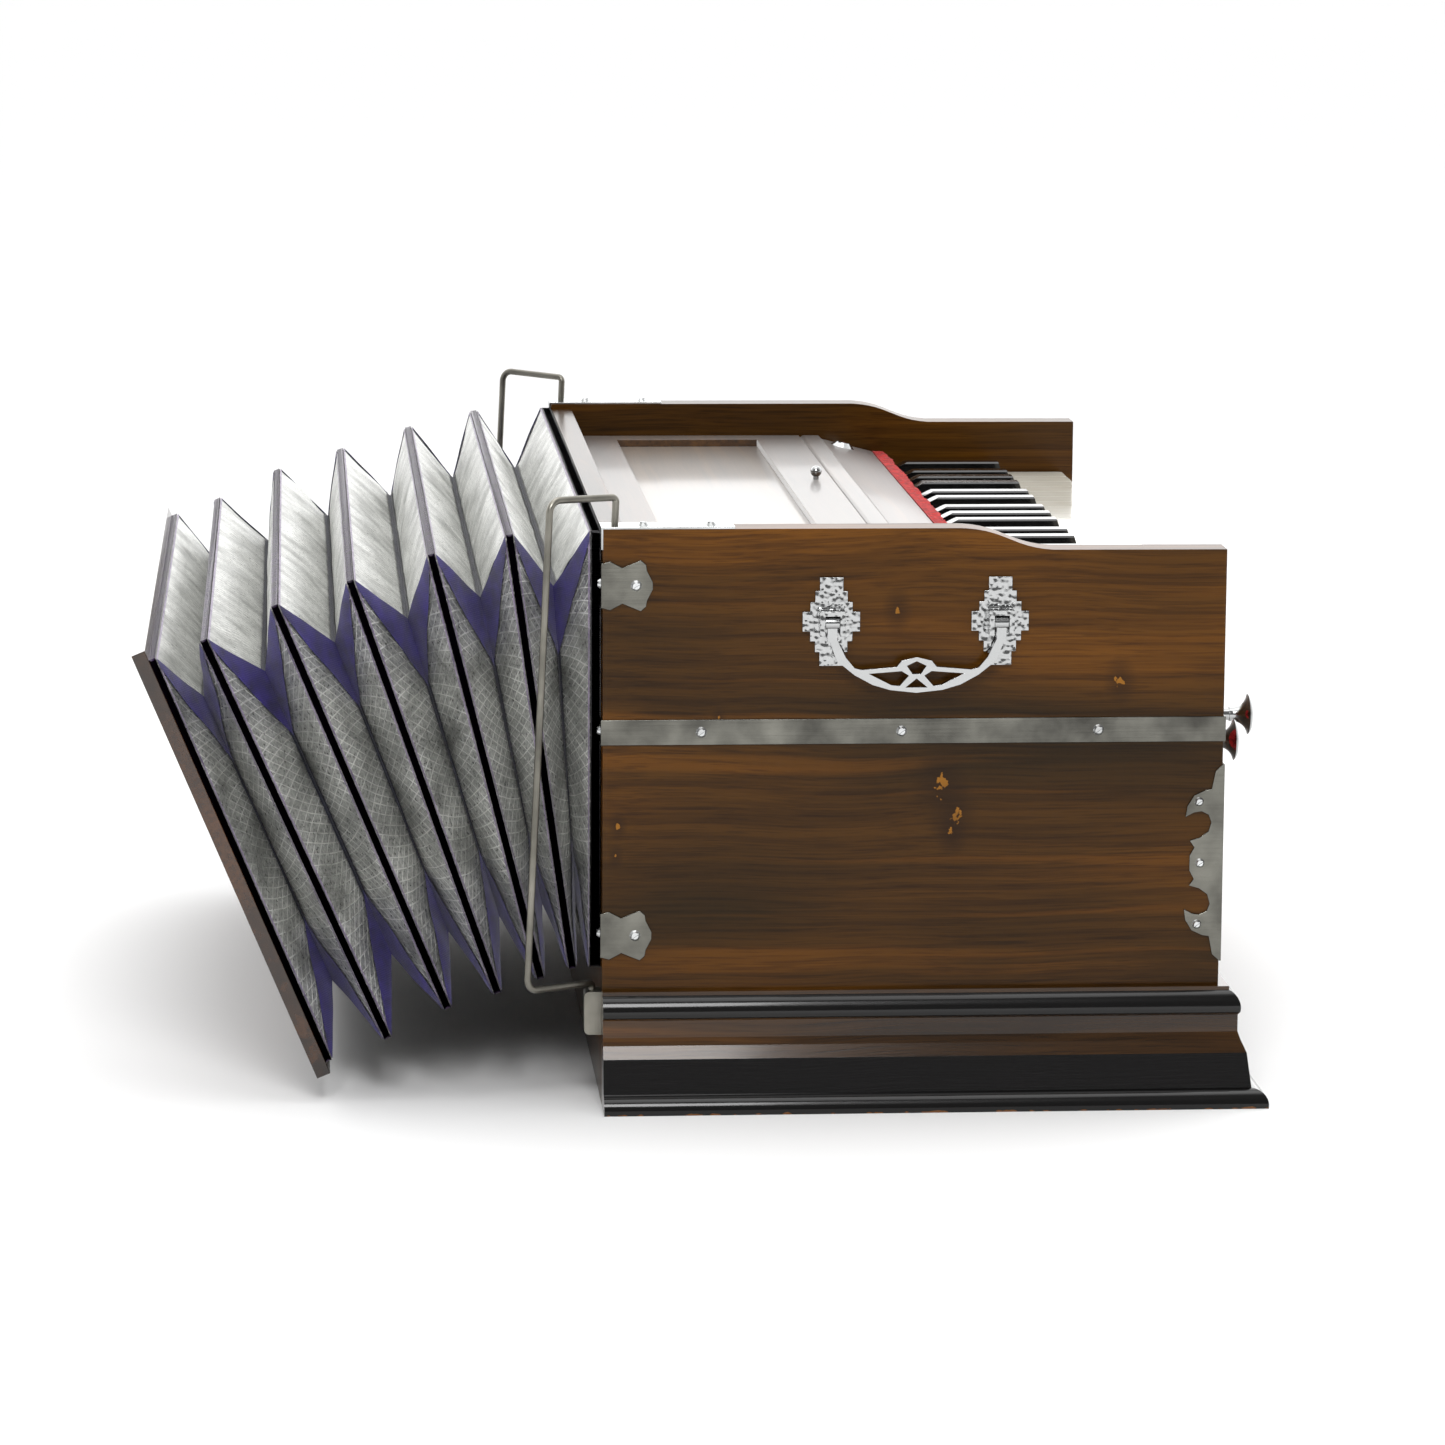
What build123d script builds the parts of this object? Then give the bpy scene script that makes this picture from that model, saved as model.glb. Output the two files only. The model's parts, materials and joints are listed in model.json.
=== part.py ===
"""Hand-pumped reed organ (harmonium) with a multi-fold bellows hanging open at the back.

Millimetres, +Z up. X runs along the keyboard from bass to treble, -Y is the player's side and
+Y the bellows side. The origin is the middle of the case's footprint, on the floor.
"""
from build123d import *
import math
import os

# ---- driving dimensions -------------------------------------------------------------------
case_depth = 305.0
case_height = 286.0
cheek_thickness = 18.0
cheek_front_drop = 11.0
cheek_curve_start = 171.0
cheek_curve_end = 225.0
board_thickness = 12.0
back_board_drop = 3.0

white_keys = 23
key_pitch = 22.5
key_gap = 0.6
key_end_gap = 2.75
key_top = case_height - 40.0
key_set_back = 7.0
white_visible = 108.0
black_visible = 70.0
black_rise = 9.5
black_width = 11.0
black_clearance = 0.9
key_bottom = key_top - 20.0
lever_top = key_top - 8.0
lever_width = 11.3
key_rod_radius = 1.2
running_clearance = 0.05
key_rear_dip = 6.0

lid_top = case_height - 18.5
lid_thickness = 10.0
lid_start = 14.0
lid_end = 144.0
lid_rear_rail = 23.0
lid_front_rail = 26.0
lid_side_rail = 20.0
lid_panel_sink = 4.0
lid_panel_thickness = 5.0
lid_pin_radius = 2.0
lid_pin_set_in = 6.2
lid_pin_depth = 14.0
pull_offset = 57.0
small_gap = 0.3

strap_low = 180.0
strap_width = 12.5
strap_screws = (48.0, 146.0, 243.0)
cap_length = 64.0
cap_screws = (20.0, 53.0)
sheet_metal = 1.0

plinth_height = 58.0
plinth_reach = 22.8

handle_height = 240.6
handle_spacing = 82.6
handle_rear = 111.0
handle_plate = 2.0
handle_box = 12.3
handle_box_reach = 8.0
handle_slot = 7.3
handle_pin_radius = 1.5
handle_thickness = 4.0

stop_height = 173.0
stop_places = (-235.0, -160.0, -85.0, 85.0, 160.0, 235.0)
stop_travel = 20.0
stop_rod_radius = 3.0
stop_head_radius = 10.3
stop_reach = 14.0
stops_pulled = (1,)
washer_radius = 8.5
washer_thickness = 2.4

bellows_set_in = 13.5
bellows_height = 216.5
bellows_low = 67.0
bellows_inset = 32.0
frame_thickness = 5.0
rib_thickness = 3.0
rib_width = 36.0
fold_card = 1.2
closed_pitch = 3.6
bellows_board_thickness = 7.0
bellows_board_margin = 6.0

wire_radius = 1.75
wire_arm = 41.0
wire_swing = 36.0
wire_low = 60.0
wire_rise = 14.5
wire_bend = 6.0
wire_end_bend = 2.5
lug_low = 35.0
lug_high = 56.5

# Where each rib's lower edge hangs: distance behind the case, height, and lean from upright.
rib_hang = (
    (13.8, 67.0, 8.2),
    (29.5, 62.0, 14.2),
    (50.7, 54.8, 19.2),
    (75.3, 47.4, 22.6),
    (104.8, 32.7, 24.0),
    (134.0, 21.6, 22.8),
)

# ---- places worked out from them ----------------------------------------------------------
case_length = white_keys * key_pitch + 2 * (cheek_thickness + key_end_gap)
bellows_length = case_length - 2 * bellows_set_in
wire_high = case_height + wire_rise
back = case_depth / 2
front = -case_depth / 2
end = case_length / 2
inner_end = end - cheek_thickness
lid_bottom = lid_top - lid_thickness
lid_pin_y = back - lid_start - lid_pin_set_in
lid_pin_z = lid_top - lid_thickness / 2
key_front = front + key_set_back
cap_rear = key_front + white_visible
key_rod_y = cap_rear + 25.0
key_rod_z = (key_bottom + lever_top) / 2 - 1.0
pallet_low = key_bottom - 25.0
reed_board_top = pallet_low - small_gap
pallet_rear = back - 75.0
pallet_front = back - 125.0
octave = 7 * key_pitch
lane = octave / 12
keys_start = -white_keys * key_pitch / 2
white_steps = (0, 2, 4, 5, 7, 9, 11)
note_names = ("c", "c_sharp", "d", "d_sharp", "e", "f", "f_sharp", "g", "g_sharp", "a", "a_sharp", "b")
stop_out = stop_reach + stop_travel
wire_x = end - cheek_thickness / 2
wire_top_y = back - 6.0
wire_foot_y = back + 4.3
cheek_top_hole = 10.0


def block(x0, x1, y0, y1, z0, z1):
    """A box given by its two corners."""
    middle = ((x0 + x1) / 2, (y0 + y1) / 2, (z0 + z1) / 2)
    return Pos(*middle) * Box(abs(x1 - x0), abs(y1 - y0), abs(z1 - z0))


def rod(start, finish, radius):
    """A round rod from one point to another."""
    line = Vector(*finish) - Vector(*start)
    plane = Plane(origin=start, z_dir=line)
    return extrude(plane * Circle(radius), line.length)


def prism_x(points, x0, x1):
    """A (y, z) outline drawn out along X."""
    outline = Plane.YZ.offset(x0) * make_face(Polyline(*points, close=True))
    return extrude(outline, x1 - x0)


def both_ends(shape):
    """The shape and its mirror image at the other end of the case."""
    return [shape, mirror(shape, Plane.YZ)]


def solids_of(shapes):
    """Every separate solid in a list of shapes."""
    return [solid for shape in shapes for solid in shape.solids()]


parts = {}


def node(name, *shapes):
    """Keeps the shapes as one named piece."""
    parts[name] = solids_of(shapes)


# ---- case -----------------------------------------------------------------------------------
def cheek_outline():
    """Side board with an S-curve down to the keyboard."""
    curve_back = back - cheek_curve_start
    curve_front = back - cheek_curve_end
    middle = (curve_back + curve_front) / 2
    low = case_height - cheek_front_drop
    board = [
        (curve_back, case_height), (back, case_height), (back, 0), (front, 0), (front, low), (curve_front, low),
    ]
    with BuildLine() as line:
        Polyline(*board)
        Bezier((curve_front, low), (middle, low), (middle, case_height), (curve_back, case_height))
    return make_face(line.edges())


def wire_axis_point(z):
    """A point of the wire's slightly leaning turning axis at a height."""
    share = (z - wire_low) / (case_height - wire_low)
    return (-wire_x, wire_foot_y + (wire_top_y - wire_foot_y) * share, z)


cheek = extrude(Plane.YZ.offset(-end) * cheek_outline(), cheek_thickness)
bore_foot = wire_axis_point(case_height - cheek_top_hole)
wire_bore = rod(bore_foot, wire_axis_point(case_height + 4), wire_radius + running_clearance)
pin_bottom = (-inner_end - 8, lid_pin_y, lid_pin_z)
pin_mouth = (-inner_end, lid_pin_y, lid_pin_z)
pin_bore = rod(pin_bottom, pin_mouth, lid_pin_radius + running_clearance)
cheek = cheek - wire_bore - pin_bore
node("left_cheek", cheek)
node("right_cheek", mirror(cheek, Plane.YZ))

front_board_top = key_bottom - 10.0
front_board = block(-inner_end, inner_end, front, front + board_thickness, 0, front_board_top)
for x in stop_places:
    hole_start = (x, front - 1, stop_height)
    hole_end = (x, front + board_thickness + 1, stop_height)
    front_board -= rod(hole_start, hole_end, stop_rod_radius + running_clearance)
node("front_board", front_board)

back_board = block(-inner_end, inner_end, back - board_thickness, back, 0, case_height - back_board_drop)
intake_radius = 14.0
intake_places = [-160 + 80 * i for i in range(5)]
for x in intake_places:
    z = bellows_low + rib_width + 2 * intake_radius
    back_board -= rod((x, back - board_thickness - 1, z), (x, back + 1, z), intake_radius)
node("back_board", back_board)

base_thickness = 10.0
board_front = front + board_thickness
board_rear = back - board_thickness
node("base_board", block(-inner_end, inner_end, board_front, board_rear, 0, base_thickness))


def plinth_profile():
    """Moulding section as distance out from the case and height."""
    with BuildLine() as line:
        Polyline((0, 0), (plinth_reach, 0), (plinth_reach, 2.5))
        ThreePointArc((plinth_reach, 2.5), (21.0, 6.6), (15.2, 9.0))
        Polyline((15.2, 9.0), (12.9, 26.0), (10.1, 32.2), (8.7, 36.0), (8.7, 44.5), (9.8, 46.0))
        ThreePointArc((9.8, 46.0), (9.2, 51.8), (5.3, 56.0))
        Polyline((5.3, 56.0), (4.8, 56.0), (4.8, plinth_height), (0, plinth_height), (0, 0))
    return make_face(line.edges())


def plinth():
    """Three lengths of moulding, mitred at the front corners."""
    far = 40.0
    side_plane = Plane(origin=(-end, back, 0), x_dir=(-1, 0, 0), z_dir=(0, 1, 0))
    side = extrude(side_plane * plinth_profile(), -(case_depth + far))
    mitre = [(-end, back), (-end - far, back), (-end - far, front - far), (-end, front)]
    keep = extrude(make_face(Polyline(*mitre, close=True)), plinth_height)
    front_plane = Plane(origin=(-end - far, front, 0), x_dir=(0, -1, 0), z_dir=(-1, 0, 0))
    length = extrude(front_plane * plinth_profile(), -(case_length + 2 * far))
    mitre = [(-end, front), (-end - far, front - far), (end + far, front - far), (end, front)]
    keep_front = extrude(make_face(Polyline(*mitre, close=True)), plinth_height)
    return both_ends(side & keep) + [length & keep_front]


node("plinth_moulding", *plinth())

# ---- lid and key cover ----------------------------------------------------------------------
lid_y0 = back - lid_end
lid_y1 = back - lid_start
lid_x = inner_end - small_gap
panel_y0 = lid_y0 + lid_front_rail
panel_y1 = lid_y1 - lid_rear_rail
panel_x = lid_x - lid_side_rail
rebate = 6.0
panel_top = lid_top - lid_panel_sink
panel_low = panel_top - lid_panel_thickness
lid = block(-lid_x, lid_x, lid_y0, lid_y1, lid_bottom, lid_top)
lid -= block(-panel_x, panel_x, panel_y0, panel_y1, lid_bottom - 1, lid_top + 1)
lid -= block(-panel_x - rebate, panel_x + rebate, panel_y0 - rebate, panel_y1 + rebate, panel_low, panel_top)
for side in (-1, 1):
    hole_start = (side * (inner_end - lid_pin_depth), lid_pin_y, lid_pin_z)
    lid -= rod(hole_start, (side * inner_end, lid_pin_y, lid_pin_z), lid_pin_radius)
node("lid_frame", lid)
panel = block(-panel_x - rebate, panel_x + rebate, panel_y0 - rebate, panel_y1 + rebate, panel_low, panel_top)
node("lid_panel", panel)
pin_start = (-inner_end + lid_pin_depth, lid_pin_y, lid_pin_z)
pin_finish = (-inner_end - 7, lid_pin_y, lid_pin_z)
lid_pins = both_ends(rod(pin_start, pin_finish, lid_pin_radius))
pull_place = (pull_offset, back - 135.0)
pull_base = Pos(*pull_place, lid_top + 1.5) * Cylinder(1.6, 3)
pull_head = Pos(*pull_place, lid_top + 4.4) * Sphere(3.1)
node("lid_fittings", *lid_pins, pull_base + pull_head)

cover_rear = lid_end + 0.6
cover_front = case_depth - key_set_back - white_visible - 3.0
cover_profile = [
    (back - cover_rear, lid_bottom - 5), (back - cover_rear, lid_top - 1.5), (back - cover_rear - 1.5, lid_top),
    (back - 155.5, lid_top), (back - 157, lid_top - 2), (back - cover_front, lid_top - 9.5),
    (back - cover_front, lid_bottom - 5),
]
lip_y = back - cover_rear
lip = block(-inner_end, inner_end, lip_y, lip_y + 5, lid_bottom - 5, lid_bottom - small_gap)
node("key_cover", prism_x(cover_profile, -inner_end, inner_end) + lip)

felt_depth = 6.2
felt_rear = back - cover_front
felt = block(-inner_end + 1, inner_end - 1, felt_rear - felt_depth, felt_rear, lid_bottom - 5, lid_bottom + 1)
washers = []
for x in stop_places:
    disc = rod((x, front - washer_thickness, stop_height), (x, front, stop_height), washer_radius)
    hole_start = (x, front - 3, stop_height)
    hole_end = (x, front + 1, stop_height)
    washers.append(disc - rod(hole_start, hole_end, stop_rod_radius + running_clearance))
node("red_felts", felt, *washers)

# ---- trim -----------------------------------------------------------------------------------
screw_radius = 2.7
screw_height = 1.4


def screw(place, direction, radius=screw_radius, height=screw_height):
    """A slotted raised screw head standing on a surface."""
    plane = Plane(origin=place, z_dir=direction)
    head = Pos(0, 0, height / 2) * Cone(radius, 0.6 * radius, height)
    slot = Pos(0, 0, height) * Rot(0, 0, 35) * Box(0.3 * radius, 2.2 * radius, 0.9)
    return plane * (head - slot)


def side_plate(points, z_middle, y_edge, direction):
    """A flat outline on the left cheek: points are distance from the edge and height."""
    outline = [(y_edge + direction * d, z_middle + h) for d, h in points]
    return prism_x(outline, -end - sheet_metal, -end)


screws = []
strap_high = strap_low + strap_width
wrap = 12.0
outer = end + sheet_metal
strap = block(-outer, -end + wrap, front - sheet_metal, back + sheet_metal, strap_low, strap_high)
strap -= block(-end, end, front, back, strap_low - 1, strap_high + 1)
node("side_straps", *both_ends(strap))
strap_middle = (strap_low + strap_high) / 2
for u in strap_screws:
    screws.append(screw((-outer, back - u, strap_middle), (-1, 0, 0)))

rear_half = [(0.0, 11.0), (3.3, 12.0), (9.3, 8.8), (18.3, 12.5), (20.8, 10.3), (21.3, 7.3), (24.1, 1.8)]
rear_outline = rear_half + [(d, -h) for d, h in reversed(rear_half)]
rear_brackets = []
for z in (258.5, 85.5):
    plate = side_plate(rear_outline, z, back, -1)
    plate += block(-outer, -end + wrap, back, back + sheet_metal, z - 11, z + 11)
    rear_brackets += both_ends(plate)
    screws.append(screw((-outer, back - 16, z), (-1, 0, 0)))
    screws.append(screw((-end + 7, back + sheet_metal, z), (0, 1, 0)))
screws.append(screw((-end + 7, back + sheet_metal, strap_middle), (0, 1, 0)))
node("rear_corner_brackets", *rear_brackets)

ornate_half = [
    (0.0, 49.3), (3.6, 46.0), (5.4, 36.9), (8.8, 36.3), (14.0, 33.9), (17.3, 28.6), (18.1, 23.0), (13.9, 25.2),
    (10.2, 25.8), (6.7, 24.1), (5.3, 20.4), (6.6, 15.8), (10.7, 12.8), (15.8, 11.3), (13.5, 7.9), (15.7, 3.8),
]
ornate = ornate_half + [(d, -h) for d, h in reversed(ornate_half)]
front_middle = 119.3
front_bracket = side_plate(ornate, front_middle, front, 1)
front_bracket += block(-outer, -end + wrap, front - sheet_metal, front, front_middle - 49.3, front_middle + 49.3)
node("front_corner_brackets", *both_ends(front_bracket))
for d, z in ((11.5, 150.0), (10.5, front_middle), (11.5, 88.6)):
    screws.append(screw((-outer, front + d, z), (-1, 0, 0), 2.3))

cap = block(-end, -inner_end, back - cap_length, back + sheet_metal, case_height, case_height + sheet_metal)
cap += block(-end, -end + wrap, back, back + sheet_metal, case_height - 10, case_height)
cap -= wire_bore
node("cap_plates", *both_ends(cap))
for u in cap_screws:
    screws.append(screw((-wire_x, back - u, case_height + sheet_metal), (0, 0, 1)))

lug = block(-wire_x - 5.5, -wire_x + 5.5, back, back + 8.5, lug_low, lug_high)
lug = fillet(lug.edges().filter_by(Axis.X).group_by(Axis.Y)[-1], 2.5)
lug -= rod(wire_axis_point(lug_high - 13), wire_axis_point(lug_high + 4), wire_radius + running_clearance)
node("wire_brackets", *both_ends(lug))

cover_drop = math.atan2(7.5, cover_front - 157)
cover_normal = (0, -math.sin(cover_drop), math.cos(cover_drop))
cover_screw_u = 168.0
cover_screw_z = lid_top - 2 - (cover_screw_u - 157) * math.tan(cover_drop)
screws.append(screw((-inner_end + 16, back - cover_screw_u, cover_screw_z), cover_normal, 7.0, 2.6))
node("trim_screws", *[s for piece in screws for s in both_ends(piece)])


# ---- handles --------------------------------------------------------------------------------
def handle_base(y):
    """Stepped cast plate with two ears and a pin; the bail's eye turns between the ears."""
    steps = ((5.7, 21.75), (7.9, 14.95), (10.3, 9.65), (14.0, 4.85))
    x1 = -end
    x0 = -end - handle_plate
    plate = None
    for half_width, half_height in steps:
        z0, z1 = handle_height - half_height, handle_height + half_height
        piece = block(x0, x1, y - half_width, y + half_width, z0, z1)
        plate = piece if plate is None else plate + piece
    x_tip = x0 - handle_box_reach
    half = handle_box / 2
    plate += block(x_tip, x0, y - half, y + half, handle_height - half, handle_height + half)
    slot = handle_slot / 2
    plate -= block(x_tip - 1, x0, y - slot, y + slot, handle_height - 20, handle_height + slot)
    pin = rod((bail_x, y - half, handle_height), (bail_x, y + half, handle_height), handle_pin_radius)
    return plate + pin


bail_x = -end - handle_plate - 4.3


def bail():
    """Cast handle in its own plane, hanging from two eyes."""
    s = handle_spacing
    outer_edge = [(-2.4, -6.0), (2.2, -18.4), (11, -25.5), (19.8, -30.3), (28.5, -32.9)]
    inner_edge = [(2.4, -8.0), (6.6, -16.7), (11, -22), (14.5, -22.9), (31.5, -21.5), (34.0, -18.4)]
    arch_top = (s / 2, -16.7)
    lower = (s / 2, -34.3)
    outer_side = outer_edge + [lower] + [(s - a, b) for a, b in reversed(outer_edge)]
    inner_side = inner_edge + [arch_top] + [(s - a, b) for a, b in reversed(inner_edge)]
    outline = outer_side + list(reversed(inner_side))
    flat = [(back - handle_rear - a, handle_height + b) for a, b in outline]
    x0 = bail_x - handle_thickness / 2
    x1 = bail_x + handle_thickness / 2
    shape = prism_x(flat, x0, x1)
    windows = [
        [(18.0, -24.8), (34.0, -23.6), (37.5, -25.8), (33.0, -30.9), (29.0, -30.4)],
        [(36.5, -21.0), (s / 2, -18.7), (s - 36.5, -21.0), (s / 2 + 2.0, -25.0), (s / 2 - 2.0, -25.0)],
        [(s / 2, -27.2), (s - 36.0, -31.6), (36.0, -31.6)],
    ]
    windows.append([(s - a, b) for a, b in windows[0]])
    for window in windows:
        hole = [(back - handle_rear - a, handle_height + b) for a, b in window]
        shape -= prism_x(hole, x0 - 1, x1 + 1)
    for a in (0, s):
        y = back - handle_rear - a
        arm = block(x0, x1, y - 2.4, y + 2.4, handle_height - 9.0, handle_height)
        eye_half = handle_slot / 2 - small_gap
        eye = rod((bail_x, y - eye_half, handle_height), (bail_x, y + eye_half, handle_height), 3.2)
        shape = shape + arm + eye
        bore_radius = handle_pin_radius + running_clearance
        shape -= rod((bail_x, y - 10, handle_height), (bail_x, y + 10, handle_height), bore_radius)
    return shape


handle_places = (back - handle_rear, back - handle_rear - handle_spacing)
node("handle_plates", *[base for y in handle_places for base in both_ends(handle_base(y))])
left_bail, right_bail = both_ends(bail())
node("left_handle", left_bail)
node("right_handle", right_bail)


# ---- keyboard -------------------------------------------------------------------------------
def key_row():
    """Every key as (note, white head's left edge or None, lane centre)."""
    row = []
    for number in range(39):
        turn, note = divmod(number, 12)
        start = keys_start + turn * octave
        head = start + white_steps.index(note) * key_pitch if note in white_steps else None
        row.append((note, head, start + (note + 0.5) * lane))
    return row


row = key_row()
black_centres = [centre for note, head, centre in row if head is None]
black_front = cap_rear - black_visible


def lever(x0, x1):
    """Wooden lever and its pallet, behind the visible cap."""
    shape = block(x0, x1, cap_rear, back - 60, key_bottom, lever_top)
    shape += block(x0, x1, pallet_front, pallet_rear, pallet_low, key_bottom)
    return shape


def white_key(head, centre):
    """A white key: head cut round the black keys, sloping down at the rear."""
    x0 = head + key_gap / 2
    x1 = head + key_pitch - key_gap / 2
    flat = make_face(Polyline((x0, key_front), (x1, key_front), (x1, cap_rear), (x0, cap_rear), close=True))
    flat = fillet(flat.vertices().group_by(Axis.Y)[0], 2.5)
    cap = Pos(0, 0, key_bottom) * extrude(flat, key_top - key_bottom)
    half = black_width / 2 + black_clearance
    for black in black_centres:
        if x0 - half < black < x1 + half:
            x2, x3 = black - half, black + half
            cap -= block(x2, x3, black_front - 1.2, cap_rear + 1, key_bottom - 1, key_top + 1)
    dip_start = cap_rear - 13
    slope = [
        (cap_rear + 1, key_top + 1), (dip_start, key_top + 1), (dip_start, key_top),
        (cap_rear + 1, key_top - key_rear_dip),
    ]
    cap -= prism_x(slope, x0 - 1, x1 + 1)
    return cap + lever(max(centre - lever_width / 2, x0), min(centre + lever_width / 2, x1))


def black_key(centre):
    """A black key: raised bevelled cap with a sloping nose."""
    top = key_top + black_rise
    outline = [
        (black_front, key_bottom), (black_front, key_top), (black_front + 3.0, top), (cap_rear - 14, top),
        (cap_rear, top - key_rear_dip - 1), (cap_rear, key_bottom),
    ]
    cap = prism_x(outline, centre - black_width / 2, centre + black_width / 2)
    long_edges = cap.edges().filter_by(Axis.Y).group_by(Axis.Z)[-1]
    cap = chamfer(long_edges, 0.9)
    return cap + lever(centre - lever_width / 2 + 0.2, centre + lever_width / 2 - 0.2)


rod_start = (-inner_end, key_rod_y, key_rod_z)
rod_finish = (inner_end, key_rod_y, key_rod_z)
rod_hole = rod(rod_start, rod_finish, key_rod_radius + running_clearance)
keys = {name: [] for name in note_names}
for note, head, centre in row:
    key = black_key(centre) if head is None else white_key(head, centre)
    keys[note_names[note]].append(key - rod_hole)
for name in note_names:
    node("key_" + name, *keys[name])

balance_rail = block(-inner_end, inner_end, key_rod_y - 15, key_rod_y + 15, reed_board_top, key_bottom - 2)
front_rail = block(-inner_end, inner_end, key_front + 8, key_front + 28, reed_board_top, front_board_top)
spring_rail = block(-inner_end, inner_end, back - 48, back - 36, reed_board_top, lever_top + 8)
node("key_frame", balance_rail, front_rail, spring_rail)
node("key_rod", rod(rod_start, rod_finish, key_rod_radius))


def key_spring(x):
    """Bent wire from the spring rail to just above the lever."""
    wire = 0.5
    z0 = lever_top + 6.5
    root = back - 48 - 2 * running_clearance
    tip = (x, key_rod_y + 14, lever_top + 2.0)
    path = FilletPolyline((x, root, z0), (x, back - 110, z0 + 2.5), tip, radius=8)
    plane = Plane(origin=path @ 0, z_dir=path % 0)
    return sweep(plane * Circle(wire), path)


node("key_springs", *[key_spring(centre) for note, head, centre in row])

reed_board_low = reed_board_top - 12.0
reed_board = block(-inner_end, inner_end, board_front, board_rear, reed_board_low, reed_board_top)
slot_front = pallet_front + 7
slot_rear = pallet_rear - 7
for note, head, centre in row:
    reed_board -= block(centre - 3.5, centre + 3.5, slot_front, slot_rear, reed_board_low - 1, reed_board_top + 1)
node("reed_board", reed_board)


def reed(x):
    """Brass frame with one thin tongue over its slot."""
    frame = block(x - 4.6, x + 4.6, pallet_front + 3, pallet_rear - 3, reed_board_low - 2.5, reed_board_low)
    frame -= block(x - 2.4, x + 2.4, pallet_front + 7, pallet_rear - 9, reed_board_low - 3, reed_board_low + 1)
    tongue_low = reed_board_low - 2.5
    tongue = block(x - 2.2, x + 2.2, pallet_front + 8, pallet_rear - 9, tongue_low, tongue_low + 0.4)
    return frame + tongue


node("reeds", *[reed(centre) for note, head, centre in row])

reservoir_top = 158.0
reservoir_rear = back - 30.0
node("reservoir_board", block(-250, 250, back - 270, reservoir_rear, reservoir_top - 8, reservoir_top))


# ---- stops ----------------------------------------------------------------------------------
def stop_knob(x, reach):
    """Turned trumpet-shaped knob on a steel rod."""
    tip = front - reach
    axle = stop_height
    rim = (tip + 1.4, axle + stop_head_radius)
    neck = (tip + 11, axle + 3.6)
    with BuildSketch(Plane.YZ.offset(x)) as section:
        with BuildLine():
            Polyline((tip + 11, axle), (tip + 0.8, axle), (tip + 0.8, axle + 6))
            ThreePointArc((tip + 0.8, axle + 6), (tip, axle + 8.3), rim)
            Spline(rim, (tip + 4.2, axle + 5.6), neck)
            Line(neck, (tip + 11, axle))
        make_face()
    axis = Axis((x, 0, axle), (0, 1, 0))
    return revolve(section.sketch, axis) + rod((x, tip + 5, axle), (x, front + 60, axle), stop_rod_radius)


for i, x in enumerate(stop_places):
    node(f"stop_knob_{i + 1}", stop_knob(x, stop_out if i in stops_pulled else stop_reach))


# ---- bellows --------------------------------------------------------------------------------
def hang_axes(lean):
    """Outward and upward unit directions in (y, z) of a rib leaning by some degrees."""
    a = math.radians(lean)
    return (math.cos(a), -math.sin(a)), (math.sin(a), math.cos(a))


def hang_point(hang, out, up):
    """(y, z) of a point given in a rib's own outward and upward distances."""
    y, z, lean = hang
    n, t = hang_axes(lean)
    return (back + y + out * n[0] + up * t[0], z + out * n[1] + up * t[1])


def slab(hang, out0, out1, up0, up1, half_length):
    """A flat board or rail parallel to a rib."""
    corners = [hang_point(hang, o, u) for o, u in ((out0, up0), (out1, up0), (out1, up1), (out0, up1))]
    return prism_x(corners, -half_length, half_length)


def ring(hang, out0, out1):
    """A rectangular frame parallel to a rib."""
    half = bellows_length / 2
    outside = slab(hang, out0, out1, 0, bellows_height, half)
    return outside - slab(hang, out0 - 1, out1 + 1, rib_width, bellows_height - rib_width, half - rib_width)


def loop(hang, out, inset):
    """Four corners of a rectangle parallel to a rib, set in from its outside."""
    half = bellows_length / 2 - inset
    low = hang_point(hang, out, inset)
    high = hang_point(hang, out, bellows_height - inset)
    return [(-half, *low), (half, *low), (half, *high), (-half, *high)]


def between(a, b):
    """The hang halfway between two ribs."""
    return tuple((p + q) / 2 for p, q in zip(a, b))


def fold(a, b, out_a, out_b):
    """Pleated card between two frames: in to a valley halfway and out again."""
    middle = between(a, b)
    out_middle = (out_a + out_b) / 2
    valley_card = 1.6 * fold_card
    rings = [
        loop(a, out_a, 0), loop(middle, out_middle, bellows_inset), loop(b, out_b, 0),
        loop(b, out_b, fold_card), loop(middle, out_middle, bellows_inset + valley_card),
        loop(a, out_a, fold_card),
    ]
    faces = []
    for number, (first, second) in enumerate(zip(rings, rings[1:] + rings[:1])):
        if number > 2:
            first, second = second, first
        for i in range(4):
            j = (i + 1) % 4
            faces.append(Face(Wire.make_polygon([first[i], first[j], second[j]], close=True)))
            faces.append(Face(Wire.make_polygon([first[i], second[j], second[i]], close=True)))
    return Solid(Shell(faces))


def turning_centre(start, finish, angle):
    """Point of the (y, z) plane about which turning by an angle takes start to finish."""
    y = finish[0] - start[0]
    z = finish[1] - start[1]
    reach = 1 / (2 * math.tan(math.radians(angle) / 2))
    return ((start[0] + finish[0]) / 2 - z * reach, (start[1] + finish[1]) / 2 + y * reach)


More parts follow.
